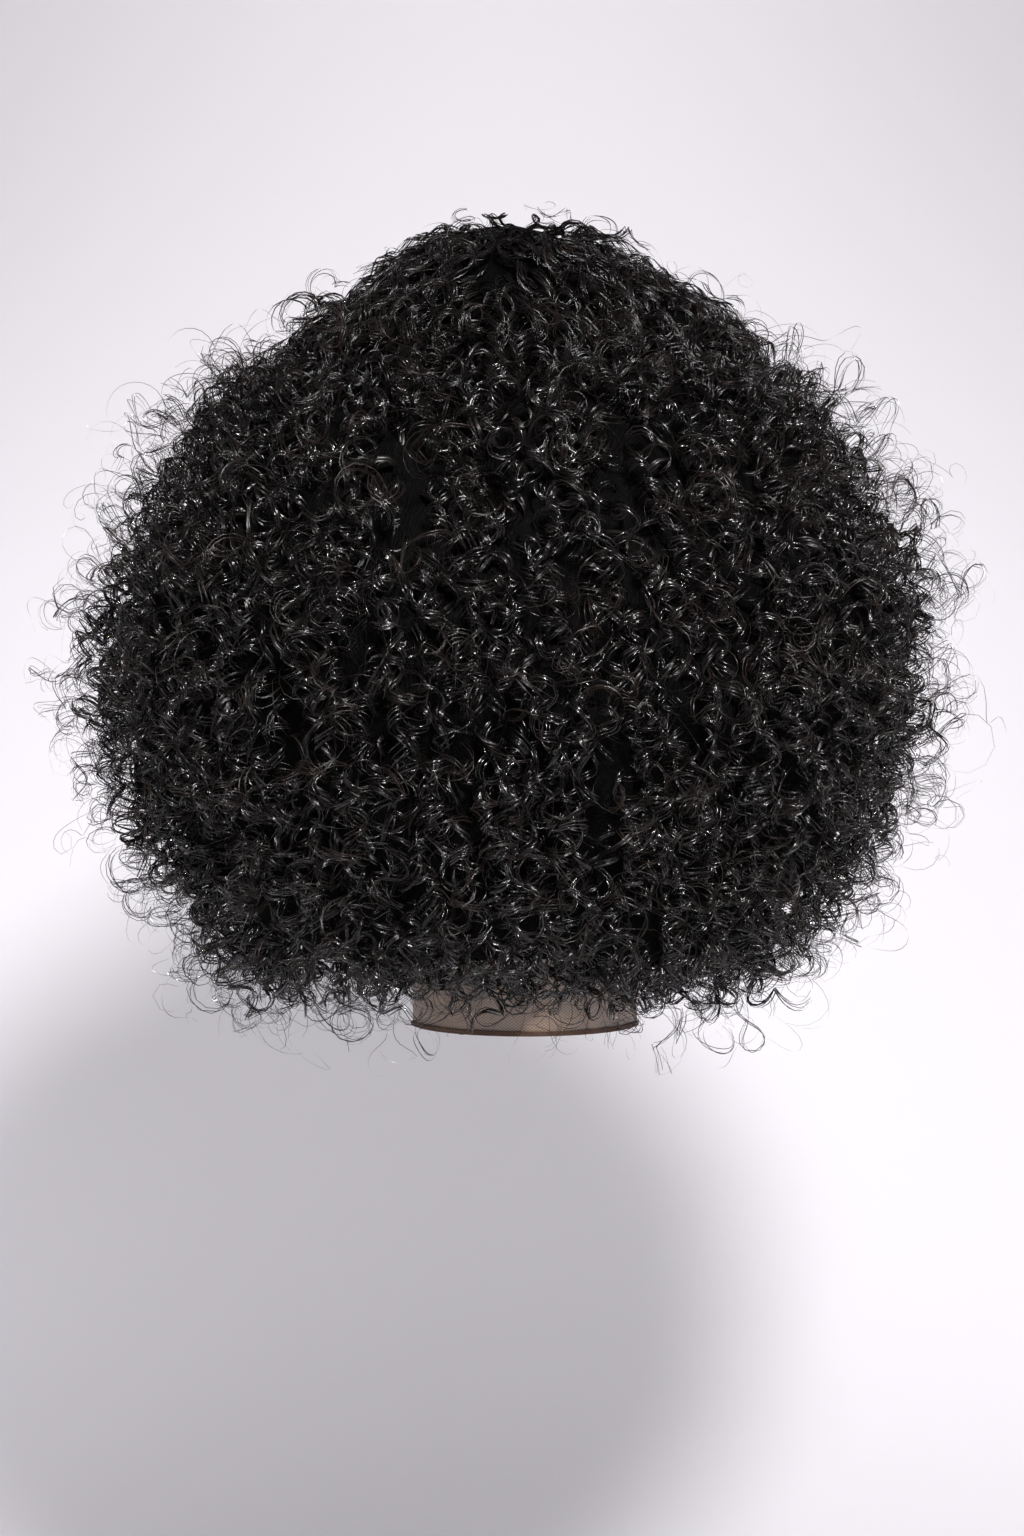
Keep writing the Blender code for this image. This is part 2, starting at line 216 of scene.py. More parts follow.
class Recipe:
    """The nodes of one material."""

    def __init__(self, name, **shader_values):
        self.material = bpy.data.materials.new(name)
        self.material.use_nodes = True
        self.tree = self.material.node_tree
        self.shader = self.tree.nodes["Principled BSDF"]
        for socket, value in shader_values.items():
            self.shader.inputs[socket.replace("_", " ")].default_value = value

    def node(self, kind, settings, *values, output=0, **named):
        """Adds a node, its settings first, and then the values or links of its sockets."""
        node = self.tree.nodes.new(kind)
        for setting, value in settings.items():
            setattr(node, setting, value)
        for index, value in enumerate(values):
            self.join(value, node.inputs[index])
        for socket, value in named.items():
            self.join(value, node.inputs[socket.replace("_", " ")])
        return Wire(self, node.outputs[output])

    def join(self, value, socket):
        if isinstance(value, Wire):
            self.tree.links.new(value.socket, socket)
        elif value is not None:
            socket.default_value = value

    def mix(self, share, first, second):
        node = self.tree.nodes.new("ShaderNodeMix")
        node.data_type = "RGBA"
        self.join(share, node.inputs["Factor"])
        for value, socket in ((first, node.inputs[6]), (second, node.inputs[7])):
            self.join(value if isinstance(value, Wire) else (*value, 1.0), socket)
        return Wire(self, node.outputs[2])

    def noise(self, place, scale, detail=2.0, roughness=0.5):
        values = {"Vector": place, "Scale": scale, "Detail": detail, "Roughness": roughness}
        return self.node("ShaderNodeTexNoise", {}, **values)

    def object_place(self):
        return self.node("ShaderNodeTexCoord", {}, output=3)

    def map_place(self):
        return self.node("ShaderNodeUVMap", {"uv_map": BAKE_MAP})

    def axes(self, place):
        node = self.tree.nodes.new("ShaderNodeSeparateXYZ")
        self.join(place, node.inputs[0])
        return [Wire(self, socket) for socket in node.outputs]

    def place(self, x, y, z=0.0):
        return self.node("ShaderNodeCombineXYZ", {}, x, y, z)

    def bump(self, height, strength, distance):
        return self.node("ShaderNodeBump", {}, Strength=strength, Distance=distance, Height=height)

    def finish(self, color=None, roughness=None, normal=None):
        for value, socket in ((color, "Base Color"), (roughness, "Roughness"), (normal, "Normal")):
            if value is not None:
                self.join(value, self.shader.inputs[socket])
        return self.material


def fibre_material(name, fibres, gap_painted_shade, roughness, light_share, gloss, lightest="hair_light"):
    """Ribbons of fibre: fine lengthwise stripes, and a tint of its own for each strip of the map. The gaps
    between the fibres are darkened as painted shade.
    """
    colors = bpy.context.scene.wig_colors
    recipe = Recipe(name, Metallic=0.0, IOR=1.55, Specular_IOR_Level=gloss)
    across, along, _ = recipe.axes(recipe.map_place())
    strip = (across * STRIPS).whole()
    side = (across * STRIPS).part()
    tint = recipe.node("ShaderNodeTexWhiteNoise", {"noise_dimensions": "1D"}, None, strip + 0.37)
    fibre = (side * fibres + strip * 0.31).part()
    crown = 1 - (fibre * 2 - 1).size() ** 2
    streak = recipe.noise(recipe.place(side * fibres * 1.3 + strip * 7.1, along * 3.0), 1.0)
    light = (tint * 0.55 + streak.ramp(0.35, 0.75) * 0.6) * light_share
    color = recipe.mix(light, tuple(colors.hair), tuple(getattr(colors, lightest)))
    # Painted shade: the gaps between the fibres are darkened towards a share of the darkest hair colour
    gap = crown.ramp(0.0, 0.35)
    color = recipe.mix(gap, tuple(c * gap_painted_shade for c in colors.hair), color)
    rough = streak * 0.22 + (roughness - 0.11)
    normal = recipe.bump(crown, 0.6, 0.00010)
    return recipe.finish(color, rough, normal)


def core_material():
    """The dark mass between the curls, coloured darker than the hair as painted shade deep in the hair."""
    colors = bpy.context.scene.wig_colors
    recipe = Recipe("hair_core", Metallic=0.0, Specular_IOR_Level=0.06)
    x, y, z = recipe.axes(recipe.object_place())
    sway = recipe.noise(recipe.object_place(), 60.0)
    strands = recipe.noise(recipe.place(x * 900.0 + sway * 9.0, y * 900.0 + sway * 9.0, z * 160.0), 1.0)
    # Painted shade: both colours of the core are the hair's darkest colour darkened further, for the shade
    # deep in the hair
    dark, light = tuple(c * 0.3 for c in colors.hair), tuple(c * 0.8 for c in colors.hair)
    color = recipe.mix(strands.ramp(0.4, 0.8), dark, light)
    return recipe.finish(color, strands * 0.3 + 0.6, recipe.bump(strands, 0.8, 0.002))


# Mesh helpers


def deselect_all():
    for item in bpy.context.selected_objects:
        item.select_set(False)


def make_active(item):
    deselect_all()
    item.select_set(True)
    bpy.context.view_layer.objects.active = item


def apply_modifier(item, kind, **settings):
    make_active(item)
    modifier = item.modifiers.new(kind, kind)
    for setting, value in settings.items():
        setattr(modifier, setting, value)
    bpy.ops.object.modifier_apply(modifier=modifier.name)


def unit(vectors):
    return vectors / np.maximum(np.linalg.norm(vectors, axis=-1, keepdims=True), 1e-9)


def ease(share):
    share = np.clip(share, 0.0, 1.0)
    return share * share * (3 - 2 * share)


def read_points(mesh):
    points = np.zeros(len(mesh.vertices) * 3)
    mesh.vertices.foreach_get("co", points)
    return points.reshape(-1, 3)


def read_normals(mesh):
    normals = np.zeros(len(mesh.vertices) * 3)
    mesh.vertices.foreach_get("normal", normals)
    return normals.reshape(-1, 3)


def add_mesh(name, points, faces):
    mesh = bpy.data.meshes.new(name)
    mesh.from_pydata(points, [], faces)
    item = bpy.data.objects.new(name, mesh)
    bpy.context.scene.collection.objects.link(item)
    return item


def ribbon_mesh(name, lines, across, widths, strips, material, roundness=0.9):
    """One mesh of flat ribbons. Their normals fan out across the width, so each shades as a round strand."""
    count, steps = lines.shape[:2]
    edges = across * widths[..., None] / 2
    points = np.stack((lines - edges, lines + edges), axis=2).reshape(-1, 3)
    along = unit(np.gradient(lines, axis=1))
    flat = unit(np.cross(across, along))
    normals = np.stack((flat - across * roundness, flat + across * roundness), axis=2).reshape(-1, 3)
    normals = unit(normals)
    first = (np.arange(count)[:, None] * steps + np.arange(steps - 1)[None, :]) * 2
    quads = np.stack((first, first + 1, first + 3, first + 2), axis=-1).reshape(-1, 4)
    mesh = bpy.data.meshes.new(name)
    mesh.vertices.add(len(points))
    mesh.vertices.foreach_set("co", points.ravel())
    mesh.loops.add(quads.size)
    mesh.loops.foreach_set("vertex_index", quads.ravel().astype(np.int32))
    mesh.polygons.add(len(quads))
    mesh.polygons.foreach_set("loop_start", np.arange(0, quads.size, 4, dtype=np.int32))
    mesh.update(calc_edges=True)
    left = (strips[:, None] + 0.08) / STRIPS + np.zeros((1, steps))
    right = (strips[:, None] + 0.92) / STRIPS + np.zeros((1, steps))
    down = np.linspace(0.02, 0.98, steps)[None, :] + np.zeros((count, 1))
    spots = np.stack((np.stack((left, down), -1), np.stack((right, down), -1)), axis=2).reshape(-1, 2)
    layer = mesh.uv_layers.new(name=BAKE_MAP)
    layer.data.foreach_set("uv", spots[quads.ravel()].ravel())
    mesh.polygons.foreach_set("use_smooth", np.ones(len(quads), dtype=bool))
    mesh.normals_split_custom_set_from_vertices(normals)
    mesh.materials.append(material)
    item = bpy.data.objects.new(name, mesh)
    bpy.context.scene.collection.objects.link(item)
    return item


def hand_over(item, slot, *nodes):
    """Puts a finished piece on the wig's body, in place of CAD nodes if any are named."""
    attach(item, "root")
    if nodes:
        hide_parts(*nodes)


# Growing hair


def head_tree():
    """The cap and both laces as one tree, to measure how far a point is from them."""
    bm = bmesh.new()
    for node in ("cap", "lace_front", "nape_lace"):
        bm.from_mesh(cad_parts[node].data)
    tree = BVHTree.FromBMesh(bm)
    bm.free()
    return tree


def scatter(mesh, count, chance, weight):
    """Points spread evenly over a mesh, closer where the weight is higher, with their normals."""
    mesh.calc_loop_triangles()
    corners = np.zeros(len(mesh.loop_triangles) * 3, dtype=np.int32)
    mesh.loop_triangles.foreach_get("vertices", corners)
    corners = corners.reshape(-1, 3)
    points, normals = read_points(mesh), read_normals(mesh)
    first, second, third = (points[corners[:, index]] for index in range(3))
    area = np.linalg.norm(np.cross(second - first, third - first), axis=1) / 2
    middles = (first + second + third) / 3
    wanted = weight(middles, unit(normals[corners].sum(axis=1)))
    total = np.cumsum(area * wanted)
    tries = count * 4
    picks = chance.random(tries) * total[-1]
    chosen = np.minimum(np.searchsorted(total, picks), len(corners) - 1)
    one, two = np.sqrt(chance.random(tries)), chance.random(tries)
    shares = np.stack((1 - one, one * (1 - two), one * two), axis=-1)[..., None]
    places = (points[corners[chosen]] * shares).sum(axis=1)
    facing = unit((normals[corners[chosen]] * shares).sum(axis=1))
    kept = keep_apart(places, count, wanted[chosen])
    return places[kept], facing[kept]


def keep_apart(places, count, wanted):
    """Picks places one after another, each as far as it can be from those picked before."""
    gaps = np.full(len(places), np.inf)
    kept = np.zeros(count, dtype=int)
    for index in range(1, count):
        gaps = np.minimum(gaps, ((places - places[kept[index - 1]]) ** 2).sum(axis=1))
        kept[index] = np.argmax(gaps * wanted)
    return kept


def wander(points, wavelength, seed):
    """Smooth noise from -1 to 1 at each point."""
    chance = np.random.default_rng(seed)
    waves = unit(chance.normal(size=(7, 3))) * (2 * math.pi / wavelength) * chance.uniform(0.6, 1.5, (7, 1))
    return np.sin(points @ waves.T + chance.uniform(0, 2 * math.pi, 7)).sum(axis=1) / 3.2


def flow_down(normals):
    """The direction in which hair falls along the surface."""
    down = np.array((0.0, 0.0, -1.0)) - normals * -normals[:, 2:]
    return unit(down)


def grow_curls(roots, normals, chance, each, traits):
    """Centre lines and width directions of curls. Each root gives one lock of like strands.

    traits holds one number for each lock, in metres: how deep it starts, how far it stands off the
    core, how far it hangs, its radius and its band, which is how far its strands lie apart along it;
    its number of turns; lean, how soon it falls; and flatness, from 1 for a curl to 0 for a flat wave.
    steps, loose and tilt are plain numbers.
    """
    count, steps, loose = len(roots), traits["steps"], traits["loose"]
    flow = flow_down(normals)
    side = np.cross(normals, flow)
    heading = unit(flow + side * chance.normal(0, traits["tilt"], (count, 1)))
    lift, reach = traits["lift"][:, None], traits["reach"][:, None]
    start = roots + normals * traits["start"][:, None]
    bend = roots + normals * lift * 1.25 + heading * reach * traits["lean"][:, None]
    end = roots + normals * (lift * traits["hang"][:, None] - reach ** 2 / (2 * ROUNDNESS)) + heading * reach
    pick = np.repeat(np.arange(count), each)
    total = count * each
    spread = unit(end - start)[pick] * chance.uniform(-1, 1, (total, 1)) * traits["band"][pick][:, None]
    spread = spread + chance.normal(size=(total, 3)) * (0.0004 * loose)
    start, bend, end = start[pick] + spread, bend[pick] + spread, end[pick] + spread
    end = end + chance.normal(size=(total, 3)) * (0.0010 * loose)
    along = np.linspace(0, 1, steps)[None, :, None]
    axis = (1 - along) ** 2 * start[:, None] + 2 * along * (1 - along) * bend[:, None]
    axis = axis + along ** 2 * end[:, None]
    ahead = unit(np.gradient(axis, axis=1))
    first = side[pick][:, None] - ahead * (side[pick][:, None] * ahead).sum(-1, keepdims=True)
    first = unit(first)
    second = np.cross(ahead, first)
    hand = chance.choice((-1.0, 1.0), count)[pick]
    turns = traits["turns"][pick] * (1 + chance.normal(0, 0.018 * loose, total))
    phase = chance.uniform(0, 2 * math.pi, count)[pick]
    wobble = np.sin(along[..., 0] * chance.uniform(4, 8, count)[pick][:, None] + phase[:, None])
    wobble = wobble * (chance.normal(0, 0.35, count)[pick] + chance.normal(0, 0.08 * loose, total))[:, None]
    phase = phase + chance.normal(0, 0.12 * loose, total)
    angle = hand[:, None] * (phase[:, None] + 2 * math.pi * turns[:, None] * along[..., 0] ** 1.12) + wobble
    size = traits["radius"][pick] * (1 + chance.normal(0, 0.08 * loose, total))
    swell = ease(along[..., 0] / 0.25 + 0.15) * (1 + 0.22 * np.sin(along[..., 0] * 5 + phase[:, None]))
    out = first * np.cos(angle)[..., None] + second * np.sin(angle)[..., None]
    swell = (size[:, None] * swell)[..., None]
    flatness = traits["flatness"][pick][:, None, None]
    wave = first * np.cos(angle)[..., None] + second * np.sin(angle)[..., None] * flatness
    lines = keep_off_head(keep_in_reach(axis + wave * swell))
    ahead = unit(np.gradient(lines, axis=1))
    twist = chance.choice((-1.0, 1.0), (total, 1)) * chance.uniform(0.35, 1.0, (total, 1))
    level = unit(np.cross(ahead, out))
    upright = np.cross(level, ahead)
    across = level * np.cos(twist)[..., None] + upright * np.sin(twist)[..., None]
    return lines, unit(across), pick


def keep_in_reach(lines):
    """Draws in what would stand further off the solids than hair may."""
    for limit, sign in ((np.array(cad_high), 1), (np.array(cad_low), -1)):
        beyond = np.maximum((lines - limit) * sign - FREE_REACH, 0)
        lines = lines - sign * (beyond - LAST_REACH * np.tanh(beyond / LAST_REACH))
    return lines


def keep_off_head(lines):
    """Moves what would poke a little way through the cap or the laces out to just over them."""
    wall, deepest, top = 1.09, 0.45, -0.010
    drop = np.clip(-lines[..., 2], 0.0, None)
    slim = ease((drop - HEAD_WIDEST_DROP) / NECK_SLIMMING)
    above = np.clip(1 - drop / HEAD_WIDEST_DROP, 0, 1)
    swell = np.sqrt(np.clip(1 - above ** 2, 1e-4, 1)) ** HEAD_SWELL
    depth = np.where(lines[..., 1] < 0, HEAD_BACK_DEPTH, HEAD_FRONT_DEPTH)
    wide = (HEAD_HALF_WIDTH + (NECK_RADIUS - HEAD_HALF_WIDTH) * slim) * swell
    deep = (depth + (NECK_RADIUS - depth) * slim) * swell
    x, y = lines[..., 0], lines[..., 1] + NECK_SET_BACK * slim
    inside = (x / wide) ** 2 + (y / deep) ** 2
    near = (inside > deepest) & (inside < wall) & (lines[..., 2] < top)
    grow = np.where(near, np.sqrt(wall / np.maximum(inside, deepest)), 1.0)
    return np.stack((x * grow, y * grow - NECK_SET_BACK * slim, lines[..., 2]), axis=-1)


def taper(total, steps, width, chance, tip=0.35):
    """Widths down each strand: full from the root on, slim at the tip."""
    along = np.linspace(0, 1, steps)[None, :]
    shape = (0.75 + 0.25 * ease(along / 0.2)) * (1 - (1 - tip) * ease((along - 0.65) / 0.35))
    return width * chance.uniform(0.7, 1.3, (total, 1)) * shape


def outline_trim(points):
    """How much further out hair stands at each place, by its angle round the line of sight from the top."""
    angles = np.degrees(np.arctan2(points[:, 0], points[:, 2] + 0.030))
    degrees, extra = np.array(OUTLINE_TRIM).T
    return np.interp(angles, degrees, extra)


def curl_piece(name, triangles, steps, each, region, width, material, seed, **ranges):
    """Grows one piece of curls over the part of the core that a region picks.

    Each range gives (least, most) for a trait at the middle of the wig. Towards the crown the curls
    open into waves: they hang further and lie closer, with a smaller radius and fewer turns. laid says
    how much closer, loose how much the strands of a lock differ and tilt how far locks lean sideways.
    """
    chance = np.random.default_rng(seed)
    count = triangles // (2 * (steps - 1) * each)
    places, normals = scatter(bpy.data.objects["hair_core"].data, count, chance, region)
    waves = ease((places[:, 2] - 0.040) / 0.095)
    lump = 1 + 0.16 * wander(places, 0.045, 3)
    spans = {trait: limits for trait, limits in ranges.items() if trait not in ("loose", "tilt", "laid")}
    traits = {trait: chance.uniform(*limits, count) for trait, limits in spans.items()}
    traits["lift"] = traits["lift"] * lump * (1 - ranges.get("laid", 0.35) * waves)
    traits["reach"] = traits["reach"] * (1 + 0.6 * waves)
    traits["radius"] = traits["radius"] * (1 - 0.15 * waves)
    traits["turns"] = traits["turns"] * (1 - 0.22 * waves)
    traits["hang"] = traits["hang"] * (1 - 0.10 * waves)
    traits["lean"] = 0.15 + 0.25 * waves
    traits["flatness"] = 1 - 0.45 * ease((places[:, 2] - 0.080) / 0.060)
    traits.update(steps=steps, loose=ranges.get("loose", 1.0), tilt=ranges.get("tilt", 0.34))
    lines, across, pick = grow_curls(places, normals, chance, each, traits)
    strips = chance.integers(0, STRIPS, count)[pick].astype(float)
    widths = taper(len(lines), steps, width, chance)
    return ribbon_mesh(name, lines, across, widths, strips, material)


def clear_of_head(points):
    tree = head_tree()
    return np.array([tree.find_nearest(Vector(point))[3] for point in points])


def open_weight(points, normals):
    """1 where curls grow, 0 on the hollow side of the core."""
    return ease((clear_of_head(points) - 0.004) / 0.006)


def fringe_region(points, normals):
    """The edge's loops and strays are few at the crown, where the hair lies smooth."""
    outside = ease((clear_of_head(points) - 0.020) / 0.020)
    return outside * (1 - 0.65 * ease((points[:, 2] - 0.050) / 0.070))


def crown_region(points, normals):
    thicker = 1 + 1.3 * ease((points[:, 2] - 0.090) / 0.050)
    return open_weight(points, normals) * (points[:, 2] > CROWN_START) * thicker


def crown_back_region(points, normals):
    return crown_region(points, normals) * (points[:, 1] < 0.015)


def crown_front_region(points, normals):
    return crown_region(points, normals) * (points[:, 1] >= 0.015)


def hanging_region(points, normals):
    return open_weight(points, normals) * (points[:, 2] <= CROWN_START)


def back_left_region(points, normals):
    return hanging_region(points, normals) * (points[:, 1] < 0.0) * (points[:, 0] < SEAM_OVERLAP)


def back_right_region(points, normals):
    return hanging_region(points, normals) * (points[:, 1] < 0.0) * (points[:, 0] > -SEAM_OVERLAP)


def front_region(points, normals):
    return hanging_region(points, normals) * (points[:, 1] >= 0.0)


# Nets


def head_skin(angle, turn):
    """A point on the head form, at an angle from the back and a turn down from the crown."""
    drop = drop_of(turn)
    slim = ease((drop - HEAD_WIDEST_DROP) / NECK_SLIMMING)
    swell = math.sin(min(turn, math.pi / 2)) ** HEAD_SWELL
    half_depth = HEAD_BACK_DEPTH if math.cos(angle) > 0 else HEAD_FRONT_DEPTH
    half_width = (HEAD_HALF_WIDTH + (NECK_RADIUS - HEAD_HALF_WIDTH) * slim) * swell
    depth = (half_depth + (NECK_RADIUS - half_depth) * slim) * swell
    return np.array((half_width * math.sin(angle), -NECK_SET_BACK * slim - depth * math.cos(angle), -drop))


def drop_of(turn):
    return HEAD_WIDEST_DROP * (1 - math.cos(turn) if turn < math.pi / 2 else 1 + turn - math.pi / 2)


def turn_of(drop):
    share = drop / HEAD_WIDEST_DROP
    return math.acos(1 - share) if share < 1 else math.pi / 2 + share - 1


def edge_drop(edges, angle):
    """How far below the crown an edge lies, read from a table of (angle from the back, drop)."""
    degrees = math.degrees(abs((angle + math.pi) % (2 * math.pi) - math.pi))
    for (first, upper), (last, lower) in zip(edges, edges[1:]):
        if degrees <= last:
            return upper + (lower - upper) * float(ease((degrees - first) / (last - first)))
    return edges[-1][1]


def panel_grid(upper_edge, lower_edge, first, last, columns, rows):
    """Points over a panel, half a wall off the head form, in columns from its upper edge to its lower one."""
    grid = np.zeros((columns, rows, 3))
    for column, angle in enumerate(np.linspace(first, last, columns)):
        upper, lower = turn_of(edge_drop(upper_edge, angle)), turn_of(edge_drop(lower_edge, angle))
        for row, turn in enumerate(np.linspace(upper, lower, rows)):
            here = head_skin(angle, turn)
            round_it = head_skin(angle + 0.005, turn) - head_skin(angle - 0.005, turn)
            down_it = head_skin(angle, turn + 0.005) - head_skin(angle, turn - 0.005)
            grid[column, row] = here + unit(np.cross(down_it, round_it)) * 0.0006
    return grid


def lace_sheet(name, points):
    """One sheet of net over a panel's grid, with a map in which it lies flat, and its flat size."""
    columns, rows = points.shape[:2]
    wide = np.linalg.norm(np.diff(points[:, rows // 2], axis=0), axis=1).sum()
    tall = np.linalg.norm(np.diff(points, axis=1), axis=2).sum(axis=1).max()
    faces = []
    for column in range(columns - 1):
        for row in range(rows - 1):
            corner = column * rows + row
            faces.append((corner, corner + 1, corner + rows + 1, corner + rows))
    item = add_mesh(name, points.reshape(-1, 3), faces)
    layer = item.data.uv_layers.new(name=BAKE_MAP)
    for loop in item.data.loops:
        column, row = divmod(loop.vertex_index, rows)
        layer.data[loop.index].uv = (column / (columns - 1), row / (rows - 1))
    make_active(item)
    bpy.ops.object.shade_smooth()
    return item, wide, tall


def net_material(name, wide, tall, cell, thread, ground):
    """Lace: crossed threads on the slant, with a sheer ground between them and a firm edge."""
    colors = bpy.context.scene.wig_colors
    recipe = Recipe(name, Metallic=0.0, Specular_IOR_Level=0.3, Sheen_Weight=0.1)
    across, along, _ = recipe.axes(recipe.map_place())
    wobble = recipe.noise(recipe.map_place(), 40.0) * 0.25
    right, down = across * (wide / cell), along * (tall / cell)
    one = 1 - ((right + down + wobble).part() * 2 - 1).size()
    two = 1 - ((right - down + wobble).part() * 2 - 1).size()
    share = thread / cell
    threads = (1 - one.ramp(share * 0.8, share * 1.2)).most(1 - two.ramp(share * 0.8, share * 1.2))
    edge = along.least(1 - along).least(across.least(1 - across) * (wide / tall))
    rim = 1 - edge.ramp(0.0010 / tall, 0.0016 / tall)
    twist = recipe.noise(recipe.place(right * 3.0, down * 3.0), 4.0)
    color = recipe.mix(twist.ramp(0.35, 0.65) * 0.5 + 0.5, tuple(colors.lace_shade), tuple(colors.lace))
    color = recipe.mix(threads, color, tuple(colors.lace_shade))
    recipe.join(threads.most(rim) * (1 - ground) + ground, recipe.shader.inputs["Alpha"])
    return recipe.finish(color, twist * 0.2 + 0.6, recipe.bump(1 - one.least(two), 0.3, 0.0002))


def cap_material():
    """Stretch net with sewn rows of weft."""
    colors = bpy.context.scene.wig_colors
    recipe = Recipe("cap_net", Metallic=0.0, Specular_IOR_Level=0.3)
    x, y, z = recipe.axes(recipe.object_place())
    rows = (z * 90.0).part()
    weft = 1 - (rows * 2 - 1).size()
    net = ((x * 900.0).sine() * (y * 900.0).sine()).size()
    fuzz = recipe.noise(recipe.object_place(), 300.0)
    color = recipe.mix(weft.ramp(0.75, 0.9), tuple(colors.cap), tuple(c * 0.35 for c in colors.cap))
    color = recipe.mix(net.ramp(0.1, 0.5) * 0.6, color, tuple(c * 2.2 for c in colors.cap))
    return recipe.finish(color, fuzz * 0.2 + 0.7, recipe.bump(net + weft.ramp(0.75, 0.9) * 2.0, 0.5, 0.0006))


def hem_material():
    """Narrow tape, sewn over with a slanted stitch."""
    colors = bpy.context.scene.wig_colors
    recipe = Recipe("hem_tape", Metallic=0.0, Specular_IOR_Level=0.3)
    x, y, z = recipe.axes(recipe.object_place())
    stitch = ((x * 4200.0 + z * 3000.0).sine() + 1) * 0.5
    weave = recipe.noise(recipe.object_place(), 900.0)
    color = recipe.mix(stitch.ramp(0.3, 0.8), tuple(c * 0.5 for c in colors.hem), tuple(colors.hem))
    color = recipe.mix(weave * 0.4, color, tuple(c * 1.5 for c in colors.hem))
    return recipe.finish(color, weave * 0.2 + 0.6, recipe.bump(stitch + weave * 0.4, 0.6, 0.0003))


# Operators


class WIG_OT_hair_core(bpy.types.Operator):
    """Make the dark core that the curls grow from"""

    bl_idname = "wig.hair_core"
    bl_label = "Hair Core"

    def execute(self, context):
        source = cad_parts["hair"]
        core = source.copy()
        core.data = source.data.copy()
        core.name = core.data.name = "hair_core"
        for key in list(core.keys()):
            del core[key]
        core.parent = None
        context.scene.collection.objects.link(core)
        core.hide_render = False
        make_active(core)
        bpy.ops.object.mode_set(mode="EDIT")
        bpy.ops.mesh.select_all(action="SELECT")
        bpy.ops.mesh.remove_doubles(threshold=1e-6)
        bpy.ops.object.mode_set(mode="OBJECT")
        apply_modifier(core, "REMESH", mode="VOXEL", voxel_size=0.008)
        apply_modifier(core, "SMOOTH", factor=0.5, iterations=12)
        points = read_points(core.data)
        depth = context.scene.hair_sizes.core_depth
        inward = depth * (0.12 + 0.88 * ease((clear_of_head(points) - 0.004) / 0.040))
        inward = inward * (1 - 0.60 * ease((points[:, 2] - 0.080) / 0.060)) - outline_trim(points)
        most = float(inward.max())
        group = core.vertex_groups.new(name="inward")
        for index, share in enumerate(np.clip(inward / most, 0, 1)):
            group.add([index], float(share), "REPLACE")
        apply_modifier(core, "DISPLACE", strength=-most, mid_level=0.0, vertex_group="inward")
        apply_modifier(core, "SMOOTH", factor=0.5, iterations=6)
        core.vertex_groups.clear()
        core.data.materials.clear()
        core.data.materials.append(core_material())
        make_active(core)
        bpy.ops.object.shade_smooth()
        hand_over(core, "hair", "hair")
        return {"FINISHED"}


class WIG_OT_curls(bpy.types.Operator):
    """Grow the clumps of curls over the core"""

    bl_idname = "wig.curls"
    bl_label = "Curls"

    def execute(self, context):
        sizes = context.scene.hair_sizes
        small, large = sizes.curl_radius * 0.8, sizes.curl_radius * 1.3
        # The third number of each fibre material is how dark the painted shade in the gaps between fibres is,
        # as a share of the darkest hair colour
        deep = fibre_material("deep_curl", 3, 0.15, 0.36, 0.90, 0.55)
        curl = fibre_material("curl_fibre", 2, 0.3, 0.20, 0.80, 0.85)
        crown = fibre_material("crown_fibre", 2, 0.3, 0.30, 0.75, 0.55)
        hanging = {
            "start": (-0.004, 0.0), "lift": (0.009, 0.027), "reach": (0.024, 0.040), "band": (0.0013, 0.0030),
            "hang": (0.55, 1.0), "radius": (small, large), "turns": (2.1, 3.1),
        }
        lying = dict(hanging, lift=(0.003, 0.012), turns=(1.0, 1.6))
        waving = dict(hanging, band=(0.0025, 0.0045), tilt=0.26, laid=0.52)
        width, seed = sizes.strand_width, sizes.seed
        # Name, triangles, steps, strands a lock, region, width, material, seed, ranges
        rows = (
            ("deep_curls", 96_000, 13, 5, open_weight, 0.0012, deep, seed, lying),
            ("crown_back_curls", 155_000, 22, 8, crown_back_region, width, crown, seed + 1, waving),
            ("crown_front_curls", 95_000, 22, 8, crown_front_region, width, crown, seed + 7, waving),
            ("left_back_curls", 150_000, 28, 6, back_left_region, width, curl, seed + 2, hanging),
            ("right_back_curls", 150_000, 28, 6, back_right_region, width, curl, seed + 3, hanging),
            ("front_curls", 130_000, 28, 6, front_region, width, curl, seed + 4, hanging),
        )
        pieces = [curl_piece(*row[:-1], **row[-1]) for row in rows]
        for piece in pieces:
            hand_over(piece, "hair")
        return {"FINISHED"}


class WIG_OT_fringe(bpy.types.Operator):
    """Grow the thin loops of the edge and the stray hairs beyond it"""

    bl_idname = "wig.fringe"
    bl_label = "Fringe and Strays"

    def execute(self, context):
        sizes = context.scene.hair_sizes
        small, large = sizes.loop_radius * 0.8, sizes.loop_radius * 1.3
        # The loops and strays take the edge brown as their lightest colour: partly the hair's own tone,
        # partly painted light shining through them
        thin = fibre_material("thin_fibre", 1, 0.8, 0.32, 1.0, 0.40, "hair_edge_tint_and_backlight")
        loops = {
            "start": (0.006, 0.016), "lift": (0.026, 0.043), "reach": (0.010, 0.026),
            "band": (0.0008, 0.0024), "hang": (0.7, 1.1), "radius": (small, large),
            "turns": (1.2, 2.0), "loose": 1.3, "tilt": 0.7,
            "laid": 0.55,
        }
        flying = dict(loops, lift=(0.032, 0.054), reach=(0.008, 0.034), radius=(0.004, 0.010))
        flying.update(turns=(0.7, 1.5), loose=2.0)
        width, thinnest = sizes.fringe_width, sizes.stray_width
        seed = sizes.seed
        fringe = curl_piece("fringe_curls", 145_000, 22, 4, fringe_region, width, thin, seed + 5, **loops)
        strays = curl_piece("stray_hairs", 38_000, 20, 1, fringe_region, thinnest, thin, seed + 6, **flying)
        for piece in (fringe, strays):
            hand_over(piece, "hair")
        return {"FINISHED"}


